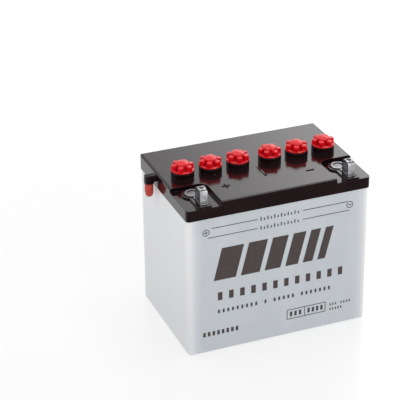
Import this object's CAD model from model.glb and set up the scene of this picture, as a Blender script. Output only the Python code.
import math

import bpy
from mathutils import Matrix, Vector


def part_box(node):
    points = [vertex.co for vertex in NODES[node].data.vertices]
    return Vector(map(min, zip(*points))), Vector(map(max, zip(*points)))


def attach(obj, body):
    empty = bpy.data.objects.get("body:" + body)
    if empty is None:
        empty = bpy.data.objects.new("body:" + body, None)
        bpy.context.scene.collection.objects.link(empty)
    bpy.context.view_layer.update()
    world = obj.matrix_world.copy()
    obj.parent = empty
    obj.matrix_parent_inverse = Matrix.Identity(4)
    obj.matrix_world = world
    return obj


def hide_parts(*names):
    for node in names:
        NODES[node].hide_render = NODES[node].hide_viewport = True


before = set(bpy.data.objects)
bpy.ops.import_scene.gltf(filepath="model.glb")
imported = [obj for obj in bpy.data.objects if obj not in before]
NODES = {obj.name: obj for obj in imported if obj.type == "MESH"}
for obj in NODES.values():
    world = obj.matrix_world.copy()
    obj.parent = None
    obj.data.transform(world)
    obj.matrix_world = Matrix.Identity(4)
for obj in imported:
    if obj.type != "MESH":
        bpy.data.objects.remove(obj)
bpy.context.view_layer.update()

# Motorcycle battery: materials for the CAD pieces, rounded filler plugs with a real thread, and
# plain printing on the front of the case. Blender's units are metres; names in mm say so.

MM = 0.001
CELLS = range(1, 7)

CASE_LOW, CASE_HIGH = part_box("case")
# The filler bosses, the cover's highest parts, stand this far above its deck.
BOSS_H = 0.0046
DECK_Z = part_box("cover")[1].z - BOSS_H
# The polarity marks lie in front of this line on the deck, the bosses behind it.
MARKS_BACK = -0.026


# Camera

LENS = 139.6
CAMERA_PLACE = (-0.5271, -1.2041, 0.7947)
# In degrees: turned right from +Y, tilted down, and rolled.
CAMERA_TURN = (21.43, 27.25, -0.67)


def make_camera():
    data = bpy.data.cameras.new("camera")
    data.lens = LENS
    data.sensor_width = 36
    data.clip_start = 0.05
    data.clip_end = 30
    cam = bpy.data.objects.new("camera", data)
    bpy.context.collection.objects.link(cam)
    yaw, pitch, roll = (math.radians(a) for a in CAMERA_TURN)
    turn = Matrix.Rotation(-yaw, 4, "Z") @ Matrix.Rotation(math.pi / 2 - pitch, 4, "X")
    turn = turn @ Matrix.Rotation(roll, 4, "Z")
    cam.matrix_world = Matrix.Translation(CAMERA_PLACE) @ turn
    bpy.context.scene.camera = cam


# Helpers for objects and node materials

def new_object(name, verts, faces, smooth=True):
    mesh = bpy.data.meshes.new(name)
    mesh.from_pydata(verts, [], faces)
    mesh.validate()
    mesh.polygons.foreach_set("use_smooth", [smooth] * len(mesh.polygons))
    obj = bpy.data.objects.new(name, mesh)
    bpy.context.collection.objects.link(obj)
    return obj


def rgb(r, g, b):
    return (r, g, b, 1.0)


def grey(value):
    return rgb(value, value, value)


class Nodes:
    """A node tree and short ways to add to it."""

    def __init__(self, tree):
        self.tree = tree

    def add(self, kind, **settings):
        node = self.tree.nodes.new(kind)
        for key, value in settings.items():
            setattr(node, key, value)
        return node

    def join(self, value, socket):
        """Link a node's output to the socket, or set a plain value on it."""
        if isinstance(value, bpy.types.NodeSocket):
            self.tree.links.new(value, socket)
        else:
            socket.default_value = value

    def math(self, operation, a, b=0.0):
        node = self.add("ShaderNodeMath", operation=operation)
        self.join(a, node.inputs[0])
        self.join(b, node.inputs[1])
        return node.outputs[0]

    def plus(self, a, b):
        return self.math("ADD", a, b)

    def minus(self, a, b):
        return self.math("SUBTRACT", a, b)

    def times(self, a, b):
        return self.math("MULTIPLY", a, b)

    def larger(self, a, b):
        return self.math("MAXIMUM", a, b)

    def absolute(self, a):
        return self.math("ABSOLUTE", a)

    def wave(self, a, per_metre):
        """A rectified sine: 0 at its narrow valleys and 1 at its crests."""
        return self.absolute(self.math("SINE", self.times(a, per_metre)))

    def remap(self, value, low, high, to_low=0.0, to_high=1.0):
        """Ease from to_low at low to to_high at high, and stay level beyond both."""
        node = self.add("ShaderNodeMapRange", interpolation_type="SMOOTHSTEP")
        self.join(value, node.inputs["Value"])
        node.inputs["From Min"].default_value = low
        node.inputs["From Max"].default_value = high
        node.inputs["To Min"].default_value = to_low
        node.inputs["To Max"].default_value = to_high
        return node.outputs[0]

    def split(self, vector, letter):
        node = self.add("ShaderNodeSeparateXYZ")
        self.join(vector, node.inputs[0])
        return node.outputs[letter]


class Shader(Nodes):
    """A procedural material."""

    def __init__(self, name):
        self.material = bpy.data.materials.new(name)
        self.material.use_nodes = True
        super().__init__(self.material.node_tree)
        self.bsdf = self.tree.nodes["Principled BSDF"]
        coords = self.add("ShaderNodeTexCoord")
        self.place = coords.outputs["Object"]
        self.facing = coords.outputs["Normal"]

    def noise(self, scale, detail=4.0, rough=0.5, stretch=(1, 1, 1), distortion=0.0):
        spread = self.add("ShaderNodeMapping")
        self.join(self.place, spread.inputs["Vector"])
        spread.inputs["Scale"].default_value = stretch
        node = self.add("ShaderNodeTexNoise")
        self.join(spread.outputs[0], node.inputs["Vector"])
        node.inputs["Scale"].default_value = scale
        node.inputs["Detail"].default_value = detail
        node.inputs["Roughness"].default_value = rough
        node.inputs["Distortion"].default_value = distortion
        return node.outputs["Fac"]

    def mix(self, fac, a, b):
        node = self.add("ShaderNodeMix", data_type="RGBA")
        self.join(fac, node.inputs["Factor"])
        self.join(a, node.inputs["A"])
        self.join(b, node.inputs["B"])
        return node.outputs["Result"]

    def axis(self, letter):
        """One coordinate of the place on the object, in metres."""
        return self.split(self.place, letter)

    def tilt(self, letter):
        """One axis of the surface's direction, from -1 to 1."""
        return self.split(self.facing, letter)

    def crevice(self, reach):
        """1 in narrow gaps and grooves, 0 on open faces."""
        node = self.add("ShaderNodeAmbientOcclusion", samples=8)
        node.inputs["Distance"].default_value = reach
        return self.remap(node.outputs["AO"], 0.35, 0.85, 1.0, 0.0)

    def soft_edge(self, radius):
        """Normal that rounds off the edges by a radius in metres."""
        node = self.add("ShaderNodeBevel", samples=6)
        node.inputs["Radius"].default_value = radius
        return node.outputs["Normal"]

    def bump(self, height, distance, strength, under=None):
        node = self.add("ShaderNodeBump")
        node.inputs["Strength"].default_value = strength
        node.inputs["Distance"].default_value = distance
        self.join(height, node.inputs["Height"])
        if under is not None:
            self.join(under, node.inputs["Normal"])
        return node.outputs["Normal"]

    def set(self, **sockets):
        """Fill the shader's inputs; an underscore in a name stands for a space."""
        for key, value in sockets.items():
            self.join(value, self.bsdf.inputs[key.replace("_", " ")])


# Materials

def case_material():
    s = Shader("natural_polypropylene")
    x, y, z = (s.axis(a) for a in "XYZ")
    end, side = CASE_HIGH.x, CASE_HIGH.y
    cloud = s.noise(22, 5, 0.55)
    flow = s.noise(60, 3, 0.5, stretch=(1, 1, 0.15))
    grain = s.noise(900, 2, 0.6)
    colour = s.mix(s.remap(cloud, 0.35, 0.65), rgb(0.50, 0.53, 0.565), rgb(0.53, 0.555, 0.59))
    # The wall is paler where no plates stand behind it: near the ends and most of all at the corners.
    near_end = s.remap(s.absolute(x), end - 0.0195, end - 0.0005)
    colour = s.mix(s.times(s.times(near_end, near_end), 0.7), colour, rgb(0.80, 0.81, 0.82))
    across = s.remap(s.absolute(y), side - 0.0095, side - 0.0015)
    corner = s.times(s.remap(s.absolute(x), end - 0.0065, end - 0.001), across)
    colour = s.mix(s.times(corner, 0.5), colour, grey(0.88))
    # It darkens a little towards the base, and shows how the plastic flowed.
    colour = s.mix(s.remap(z, 0.15, 0.0, 0.0, 0.25), colour, rgb(0.47, 0.50, 0.53))
    colour = s.mix(s.remap(flow, 0.4, 0.8, 0.0, 0.12), colour, rgb(0.64, 0.67, 0.70))
    s.set(
        Base_Color=colour,
        Roughness=s.remap(cloud, 0.3, 0.7, 0.30, 0.42),
        Normal=s.bump(grain, 0.0002, 0.12),
        Subsurface_Weight=0.25,
        Subsurface_Scale=0.004,
        IOR=1.49,
    )
    return s.material


def cover_material():
    s = Shader("black_polypropylene")
    cloud = s.noise(35, 4, 0.5)
    peel = s.noise(420, 2, 0.5)
    fine = s.noise(1600, 2, 0.7, stretch=(1, 0.12, 1))
    colour = s.mix(s.remap(cloud, 0.3, 0.7), rgb(0.0085, 0.0030, 0.0040), rgb(0.0125, 0.0050, 0.0062))
    rough = s.plus(s.remap(cloud, 0.3, 0.7, 0.09, 0.15), s.remap(fine, 0.62, 0.8, 0.0, 0.10))
    # The polished faces are the top and the ends; the front and back are satin.
    satin = s.remap(s.absolute(s.tilt("Y")), 0.30, 0.80)
    # So are the polarity marks, which stand up from the deck.
    raised = s.remap(s.axis("Z"), DECK_Z + 0.0001, DECK_Z + 0.0002)
    in_front = s.remap(s.axis("Y"), MARKS_BACK - 0.001, MARKS_BACK, 1.0, 0.0)
    satin = s.larger(satin, s.times(raised, in_front))
    s.set(
        Base_Color=colour,
        Roughness=s.plus(rough, s.times(satin, 0.14)),
        Specular_IOR_Level=s.minus(0.5, s.times(satin, 0.44)),
        Normal=s.bump(peel, 0.0002, 0.05, under=s.soft_edge(0.0004)),
        IOR=1.50,
    )
    return s.material


def plug_material():
    s = Shader("red_plastic")
    cloud = s.noise(160, 4, 0.5)
    grain = s.noise(1500, 2, 0.6)
    colour = s.mix(s.remap(cloud, 0.3, 0.7), rgb(0.60, 0.001, 0.006), rgb(0.68, 0.002, 0.011))
    colour = s.mix(s.times(s.crevice(0.003), 0.6), colour, rgb(0.16, 0.0, 0.002))
    s.set(
        Base_Color=colour,
        Specular_IOR_Level=s.remap(s.tilt("Z"), 0.2, 0.85, 0.10, 0.55),
        Roughness=s.remap(cloud, 0.3, 0.7, 0.22, 0.32),
        Normal=s.bump(grain, 0.0001, 0.10),
        Subsurface_Weight=0.10,
        Subsurface_Scale=0.0015,
        IOR=1.50,
    )
    return s.material


def rubber_material(name, dark, light, rough):
    s = Shader(name)
    cloud = s.noise(220, 4, 0.6)
    grain = s.noise(1800, 3, 0.7)
    s.set(
        Base_Color=s.mix(s.remap(cloud, 0.3, 0.7), dark, light),
        Roughness=s.remap(cloud, 0.3, 0.7, rough - 0.06, rough + 0.08),
        Normal=s.bump(grain, 0.0002, 0.25),
        IOR=1.48,
    )
    return s.material


def lead_material(name, bright):
    s = Shader(name)
    cloud = s.noise(170, 5, 0.6, distortion=0.4)
    spots = s.noise(700, 3, 0.6)
    cast = s.noise(420, 4, 0.65)
    dull = rgb(bright * 0.62, bright * 0.63, bright * 0.66)
    shine = rgb(bright * 1.15, bright * 1.16, bright * 1.20)
    colour = s.mix(s.remap(cloud, 0.35, 0.68), dull, shine)
    colour = s.mix(s.remap(spots, 0.6, 0.75, 0.0, 0.4), colour, rgb(0.18, 0.18, 0.20))
    # Oxide darkens the level faces, and most of all the sides, the grooves and the crease across
    # the terminal straps, a little behind their front.
    level = s.remap(s.tilt("Z"), 0.85, 0.98, 0.0, 0.5)
    colour = s.mix(level, colour, rgb(bright * 0.30, bright * 0.30, bright * 0.32))
    lug_low, lug_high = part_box("positive_lug")
    crease_y = lug_low.y + 0.0038
    from_crease = s.absolute(s.minus(s.axis("Y"), crease_y))
    on_strap = s.remap(s.axis("Z"), lug_high.z - 0.0022, lug_high.z - 0.0018)
    crease = s.times(s.remap(from_crease, 0.0006, 0.0011, 1.0, 0.0), on_strap)
    gap = s.larger(s.crevice(0.0025), s.times(crease, 0.92))
    side = s.remap(s.absolute(s.tilt("X")), 0.6, 0.95, 0.0, 0.9)
    colour = s.mix(s.larger(side, gap), colour, rgb(0.028, 0.023, 0.028))
    s.set(
        Base_Color=colour,
        Metallic=s.minus(0.85, s.times(side, 0.6)),
        Specular_IOR_Level=s.minus(0.5, s.times(side, 0.45)),
        Roughness=s.remap(cloud, 0.3, 0.7, 0.38, 0.22),
        Normal=s.bump(cast, 0.0004, 0.25, under=s.soft_edge(0.0005)),
    )
    return s.material


def plate_material(name, dark, light):
    """Paste in a grid, with upright wires every 4.5 mm and level ones every 6.3 mm."""
    s = Shader(name)
    paste = s.noise(500, 5, 0.7)
    grid = s.math("MINIMUM", s.wave(s.axis("Y"), 700), s.wave(s.axis("Z"), 500))
    s.set(
        Base_Color=s.mix(s.remap(grid, 0.0, 0.35), light, s.mix(paste, dark, light)),
        Roughness=s.remap(paste, 0.3, 0.7, 0.7, 0.95),
        Normal=s.bump(s.plus(grid, s.times(paste, 0.4)), 0.0005, 0.5),
    )
    return s.material


def sheet_material():
    s = Shader("fibre_sheet")
    fibre = s.noise(1400, 5, 0.8, stretch=(1, 1, 0.2))
    s.set(
        Base_Color=s.mix(fibre, rgb(0.70, 0.68, 0.60), rgb(0.86, 0.84, 0.78)),
        Roughness=0.9,
        Normal=s.bump(fibre, 0.0003, 0.5),
    )
    return s.material


def ink_material():
    s = Shader("printing_ink")
    cloud = s.noise(260, 4, 0.6)
    grain = s.noise(1500, 2, 0.6)
    s.set(
        Base_Color=s.mix(s.remap(cloud, 0.3, 0.7), rgb(0.030, 0.018, 0.016), rgb(0.050, 0.032, 0.028)),
        Roughness=s.remap(cloud, 0.3, 0.7, 0.40, 0.55),
        Normal=s.bump(grain, 0.0001, 0.15),
    )
    return s.material


def floor_material():
    """White sheet, lit from behind as well, so that shadows on it stay faint."""
    s = Shader("studio_floor")
    cloud = s.noise(3, 3, 0.5)
    away = s.add("ShaderNodeVectorMath", operation="LENGTH")
    s.join(s.place, away.inputs[0])
    far = s.remap(away.outputs["Value"], 0.3, 1.0)
    s.set(
        Base_Color=s.mix(s.remap(cloud, 0.3, 0.7), rgb(0.215, 0.215, 0.217), rgb(0.225, 0.225, 0.227)),
        Emission_Color=grey(1.0),
        Emission_Strength=s.plus(0.68, s.times(far, 0.3)),
        Roughness=0.22,
        IOR=1.3,
    )
    return s.material


# What each CAD node is made of, by how its name starts. Any other node is cast lead.
LOOK_BY_START = {
    "case": "case",
    "cover": "cover",
    "vent_elbow": "cover",
    "vent_cap": "vent",
    "filler_plug": "plug",
    "plug_seal": "seal",
    "positive_plates": "positive",
    "negative_plates": "negative",
    "separators": "sheet",
    "positive_post": "post",
    "negative_post": "post",
}


def make_looks():
    return {
        "case": case_material(),
        "cover": cover_material(),
        "plug": plug_material(),
        "vent": rubber_material("orange_rubber", rgb(0.40, 0.026, 0.014), rgb(0.50, 0.040, 0.020), 0.34),
        "seal": rubber_material("black_rubber", grey(0.02), grey(0.04), 0.55),
        "lead": lead_material("cast_lead", 0.47),
        "post": lead_material("post_lead", 0.33),
        "positive": plate_material("positive_paste", rgb(0.05, 0.022, 0.014), rgb(0.12, 0.06, 0.04)),
        "negative": plate_material("negative_paste", rgb(0.12, 0.12, 0.13), rgb(0.25, 0.25, 0.27)),
        "sheet": sheet_material(),
    }


def look_of(name):
    return next((look for start, look in LOOK_BY_START.items() if name.startswith(start)), "lead")


def paint_nodes(looks):
    for name, node in NODES.items():
        node.data.materials.clear()
        node.data.materials.append(looks[look_of(name)])


# Floor, world and lights

FLOOR_HALF = 6.0
# The floor lies just under the base, so the two never share a plane.
FLOOR_Z = -0.0002


def make_floor():
    corners = [(-1, -1), (1, -1), (1, 1), (-1, 1)]
    verts = [(x * FLOOR_HALF, y * FLOOR_HALF, 0) for x, y in corners]
    floor = new_object("floor", verts, [(0, 1, 2, 3)], smooth=False)
    floor.location.z = FLOOR_Z
    floor.data.materials.append(floor_material())


def make_world():
    """Pale studio, brightest in a band at the back on the right, where the deck mirrors it."""
    world = bpy.data.worlds.new("studio")
    world.use_nodes = True
    nodes = Nodes(world.node_tree)
    outward = nodes.add("ShaderNodeTexCoord").outputs["Generated"]
    x, y, z = (nodes.split(outward, a) for a in "XYZ")
    back_right = nodes.times(nodes.remap(y, 0.2, 0.7), nodes.remap(x, 0.26, 0.50, 0.1, 2.4))
    band = nodes.times(nodes.remap(z, 0.26, 0.38), nodes.remap(z, 0.52, 0.68, 1.0, 0.0))
    even = nodes.remap(x, -1.0, 0.4, 0.66, 0.86)
    background = world.node_tree.nodes["Background"]
    background.inputs["Color"].default_value = grey(1.0)
    nodes.join(nodes.plus(nodes.times(back_right, band), even), background.inputs["Strength"])
    bpy.context.scene.world = world


def softbox(name, place, aim, size, power):
    data = bpy.data.lights.new(name, "AREA")
    data.shape = "RECTANGLE"
    data.size, data.size_y = size
    data.energy = power
    light = bpy.data.objects.new(name, data)
    bpy.context.collection.objects.link(light)
    light.location = place
    light.rotation_euler = (Vector(aim) - Vector(place)).to_track_quat("-Z", "Y").to_euler()


def make_lights():
    softbox("top_light", place=(-0.5, 0.1, 1.4), aim=(0, 0, 0.1), size=(1.0, 1.0), power=5)
    softbox("small_top_light", place=(0.46, -0.07, 1.45), aim=(0, 0, 0.1), size=(0.3, 0.3), power=3)
    softbox("front_light", place=(0.3, -1.6, 1.1), aim=(0, 0, 0.05), size=(1.6, 1.0), power=5)


# Filler plugs, drawn in mm, with heights from the foot of the flange, which rests on the seal

def in_mm(length):
    """A length of the frame in mm, to a hundredth."""
    return round(length / MM, 2)


# These three are the frame's, in metres.
PLUG_LOW, PLUG_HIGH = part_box("filler_plug_1")
SEAT_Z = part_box("plug_seal_1")[1].z
FLANGE_R = in_mm((PLUG_HIGH.x - PLUG_LOW.x) / 2)
STEM_END = in_mm(PLUG_LOW.z - SEAT_Z)
CROWN_TOP = in_mm(PLUG_HIGH.z - SEAT_Z)

# How far each plug is screwed round, in degrees, counted from the positive end.
PLUG_TURNS = {1: -2, 2: 2, 3: 19, 4: -14, 5: 4, 6: -7}

LOBES = 6
LOBE_STEPS = 16
VALLEY_STEPS = 5
# Radii: where the lobes' centres lie, one lobe, and the core that shows in the valleys.
LOBE_CENTRES_R = 8.1
LOBE_R = 2.8
CORE_R = 6.4

BORE_R = 1.6
BORE_DEPTH = 3
THREAD_PITCH = 3.0
THREAD_DEPTH = 0.42
THREAD_ROOT_R = 7.6
THREAD_TOP = -1.6
THREAD_FOOT = STEM_END + 1.2
THREAD_STEPS = 48
LOBE_TOP = 6.2
# The crown's dome stays just under the CAD's top and falls off with the square of the radius.
DOME_TOP = CROWN_TOP - 0.02
DOME_FALL = 0.034

# Outlines of the round parts as (radius, height), from the gas bore outwards and up.
STEM_OUTLINE = (
    (BORE_R, STEM_END + BORE_DEPTH),
    (BORE_R, STEM_END),
    (7.0, STEM_END),
    (7.45, STEM_END + 0.15),
)
FLANGE_OUTLINE = (
    (THREAD_ROOT_R, 0.0),
    (FLANGE_R - 0.25, 0.0),
    (FLANGE_R - 0.07, 0.08),
    (FLANGE_R, 0.25),
    (FLANGE_R, 0.95),
    (FLANGE_R - 0.02, 1.1),
    (FLANGE_R - 0.08, 1.2),
)
# The lobed head as (lobe radius, core radius, height): a fillet, straight sides, a round shoulder.
HEAD_OUTLINE = (
    (2.81, 6.9, 1.22),
    (LOBE_R, 6.6, 1.35),
    (2.79, CORE_R, 1.7),
    (2.76, CORE_R, 4.9),
    (2.70, CORE_R, 5.35),
    (2.56, CORE_R, 5.68),
    (2.34, CORE_R, 5.92),
    (2.05, CORE_R, 6.08),
    (1.78, CORE_R, LOBE_TOP - 0.04),
)
CROWN_OUTLINE = (
    (6.5, LOBE_TOP),
    (CORE_R, LOBE_TOP + 0.1),
    (6.34, 7.0),
    (6.22, 7.32),
    (5.98, 7.56),
    (5.6, 7.74),
)
DOME_RADII = (5.1, 4.5, 3.7, 2.8, 1.8, 0.8)


def clover(lobe_r, core_r):
    """Outline of six round lobes round a core, as (x, y) points."""
    reach = LOBE_CENTRES_R
    turn = math.pi - math.acos((reach**2 + lobe_r**2 - core_r**2) / (2 * reach * lobe_r))
    points = []
    for k in range(LOBES):
        start = k * 2 * math.pi / LOBES
        arc = []
        for i in range(LOBE_STEPS + 1):
            t = turn * (2 * i / LOBE_STEPS - 1)
            arc.append((reach + lobe_r * math.cos(t), lobe_r * math.sin(t)))
        edge = math.atan2(arc[-1][1], arc[-1][0])
        for i in range(1, VALLEY_STEPS):
            a = edge + (2 * math.pi / LOBES - 2 * edge) * i / VALLEY_STEPS
            arc.append((core_r * math.cos(a), core_r * math.sin(a)))
        c, s = math.cos(start), math.sin(start)
        points += [(x * c - y * s, x * s + y * c) for x, y in arc]
    return points


# Round rings have their points at the lobed outline's angles, so that the skin doesn't twist.
RING_ANGLES = [math.atan2(y, x) for x, y in clover(LOBE_R, CORE_R)]


def round_ring(r, z):
    return [(r * math.cos(a), r * math.sin(a), z) for a in RING_ANGLES]


def lobed_ring(lobe_r, core_r, z):
    return [(x, y, z) for x, y in clover(lobe_r, core_r)]


def thread_ring(z):
    """Ring of the stem at height z, with a rounded screw thread that runs out at both ends."""
    depth = THREAD_DEPTH * max(0.0, min(1.0, THREAD_TOP - z, z - THREAD_FOOT))
    ring = []
    for a in RING_ANGLES:
        wave = 0.5 + 0.5 * math.cos(2 * math.pi * (z / THREAD_PITCH - a / (2 * math.pi)))
        r = THREAD_ROOT_R + depth * wave**2
        ring.append((r * math.cos(a), r * math.sin(a), z))
    return ring


def plug_rings():
    rings = [round_ring(r, z) for r, z in STEM_OUTLINE]
    start = STEM_END + 0.5
    rings += [thread_ring(start - start * i / THREAD_STEPS) for i in range(THREAD_STEPS)]
    rings += [round_ring(r, z) for r, z in FLANGE_OUTLINE]
    rings += [lobed_ring(lobe_r, core_r, z) for lobe_r, core_r, z in HEAD_OUTLINE]
    rings += [round_ring(r, z) for r, z in CROWN_OUTLINE]
    rings += [round_ring(r, DOME_TOP - DOME_FALL * r * r) for r in DOME_RADII]
    return rings


def loft(name, rings, place, turn):
    """Closed skin through rings of equal length, in mm, turned and moved into place."""
    n = len(rings[0])
    c, s = math.cos(turn), math.sin(turn)
    verts = [
        ((x * c - y * s) * MM + place[0], (x * s + y * c) * MM + place[1], z * MM + place[2])
        for ring in rings
        for x, y, z in ring
    ]
    faces = []
    for k in range(len(rings) - 1):
        for i in range(n):
            j = (i + 1) % n
            faces.append((k * n + i, k * n + j, (k + 1) * n + j, (k + 1) * n + i))
    faces.append(tuple(range(n - 1, -1, -1)))
    faces.append(tuple((len(rings) - 1) * n + i for i in range(n)))
    return new_object(name, verts, faces)


def make_plug(cell, look):
    low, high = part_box(f"filler_plug_{cell}")
    seal_low, seal_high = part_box(f"plug_seal_{cell}")
    place = ((low.x + high.x) / 2, (seal_low.y + seal_high.y) / 2, seal_high.z)
    plug = loft(f"plug_{cell}_moulding", plug_rings(), place, math.radians(PLUG_TURNS[cell]))
    plug.data.materials.append(look)
    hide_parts(f"filler_plug_{cell}")
    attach(plug, f"plug_{cell}")


# Printing on the front of the case, drawn as (x, z) in mm

# The ink reaches this far in front of the case's face and as far into it.
INK = 0.04
LINE_W = 0.75

# Two level lines, each broken in the middle for a tick scale: height, left end and right end.
LEVEL_LINES = ((122.0, -71.5, 71.0), (131.3, -67.5, 68.8))
LINE_BREAK = (-22.5, 23.0)
TICKS = 12
TICK_FIRST = -19.0
TICK_PITCH = 3.4
TICK_W = 1.2
TICK_LONG = 1.9
TICK_SHORT = 0.6

# Polarity signs in rings beside the two ends of the lines, with the ring's outer and inner radius
# and the length of a sign's arm from its middle.
PLUS_X, MINUS_X = -73.2, 71.2
SIGN_Z = 127.8
SIGN_RING = (3.5, 2.8)
SIGN_ARM = 2.1

# Slanting stripes that narrow towards the right, with their foot and top.
STRIPE_LEFT = -66.0
STRIPE_WIDTHS = (22, 19, 16, 13, 10, 8)
STRIPE_GAP = 5.0
STRIPE_Z = (76, 109)
STRIPE_SLANT = 0.25

# Outlined box with a divider: left, right, bottom and top.
PANEL = (8.5, 49.2, 16.8, 27.6)
DIVIDER_X = 26.7

# Rows of plain blocks: left end, pitch, block width, bottom, top, places, and the places left empty.
BLOCK_ROWS = (
    (-62, 11.2, 4.6, 54.5, 63.0, 12, ()),
    (-62, 4.72, 2.0, 40.5, 44.4, 25, (9, 11, 17)),
    (-77, 4.7, 2.6, 17.6, 22.4, 8, ()),
    (11.8, 4.7, 2.4, 19.7, 24.9, 3, ()),
    (30.2, 4.5, 2.4, 19.7, 24.9, 4, ()),
    (53.5, 2.9, 1.3, 22.0, 24.6, 8, (3,)),
    (53.5, 2.9, 1.3, 16.9, 19.5, 5, ()),
)


def bar(x0, x1, z0, z1, slant=0.0):
    s = slant * (z1 - z0)
    return [(x0, z0), (x1, z0), (x1 + s, z1), (x0 + s, z1)]


def level_bar(x0, x1, z):
    return bar(x0, x1, z - LINE_W / 2, z + LINE_W / 2)


def upright_bar(x, z0, z1):
    return bar(x - LINE_W / 2, x + LINE_W / 2, z0, z1)


def level_line(z, left, right):
    shapes = [level_bar(left, LINE_BREAK[0], z), level_bar(LINE_BREAK[1], right, z)]
    for i in range(TICKS):
        x = TICK_FIRST + TICK_PITCH * i
        up = TICK_LONG if i % 2 == 0 else TICK_SHORT
        shapes.append(bar(x - TICK_W / 2, x + TICK_W / 2, z - TICK_LONG, z + up))
    return shapes


def ring_print(x, z, outer, inner, steps=40):
    """A ring as quads, one for each step."""
    quads = []
    for i in range(steps):
        a, b = (2 * math.pi * k / steps for k in (i, i + 1))
        corners = ((inner, a), (outer, a), (outer, b), (inner, b))
        quads.append([(x + r * math.cos(t), z + r * math.sin(t)) for r, t in corners])
    return quads


def sign_print(x):
    """A minus in a ring."""
    return ring_print(x, SIGN_Z, *SIGN_RING) + [level_bar(x - SIGN_ARM, x + SIGN_ARM, SIGN_Z)]


def plus_arms(x):
    """The two upright arms that make a plus of a minus."""
    up = upright_bar(x, SIGN_Z + LINE_W / 2, SIGN_Z + SIGN_ARM)
    down = upright_bar(x, SIGN_Z - SIGN_ARM, SIGN_Z - LINE_W / 2)
    return [up, down]


def stripes():
    shapes = []
    left = STRIPE_LEFT
    for width in STRIPE_WIDTHS:
        shapes.append(bar(left, left + width, *STRIPE_Z, STRIPE_SLANT))
        left += width + STRIPE_GAP
    return shapes


def panel():
    x0, x1, z0, z1 = PANEL
    w = LINE_W
    outline = [bar(x0, x1, z0, z0 + w), bar(x0, x1, z1 - w, z1)]
    outline += [bar(x0, x0 + w, z0 + w, z1 - w), bar(x1 - w, x1, z0 + w, z1 - w)]
    return outline + [bar(DIVIDER_X, DIVIDER_X + w, z0 + w, z1 - w)]


def block_row(x, pitch, width, z0, z1, places, empty):
    return [bar(x + pitch * i, x + pitch * i + width, z0, z1) for i in range(places) if i not in empty]


def print_shapes():
    shapes = []
    for z, left, right in LEVEL_LINES:
        shapes += level_line(z, left, right)
    shapes += sign_print(PLUS_X) + plus_arms(PLUS_X) + sign_print(MINUS_X)
    shapes += stripes() + panel()
    for row in BLOCK_ROWS:
        shapes += block_row(*row)
    return shapes


def make_print(look):
    """All the printing as one piece of thin ink slabs, half sunk in the case's front face."""
    y_face = CASE_LOW.y
    verts, faces = [], []
    for shape in print_shapes():
        n, first = len(shape), len(verts)
        verts += [(x * MM, y_face - INK * MM, z * MM) for x, z in shape]
        verts += [(x * MM, y_face + INK * MM, z * MM) for x, z in shape]
        faces.append(tuple(range(first, first + n)))
        faces.append(tuple(range(first + 2 * n - 1, first + n - 1, -1)))
        for i in range(n):
            j = (i + 1) % n
            faces.append((first + i, first + n + i, first + n + j, first + j))
    printed = new_object("front_print", verts, faces, smooth=False)
    printed.data.materials.append(look)
    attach(printed, "battery")


def main():
    bpy.context.scene.view_settings.view_transform = "Standard"
    make_camera()
    make_floor()
    make_world()
    make_lights()
    looks = make_looks()
    paint_nodes(looks)
    for cell in CELLS:
        make_plug(cell, looks["plug"])
    make_print(ink_material())


main()
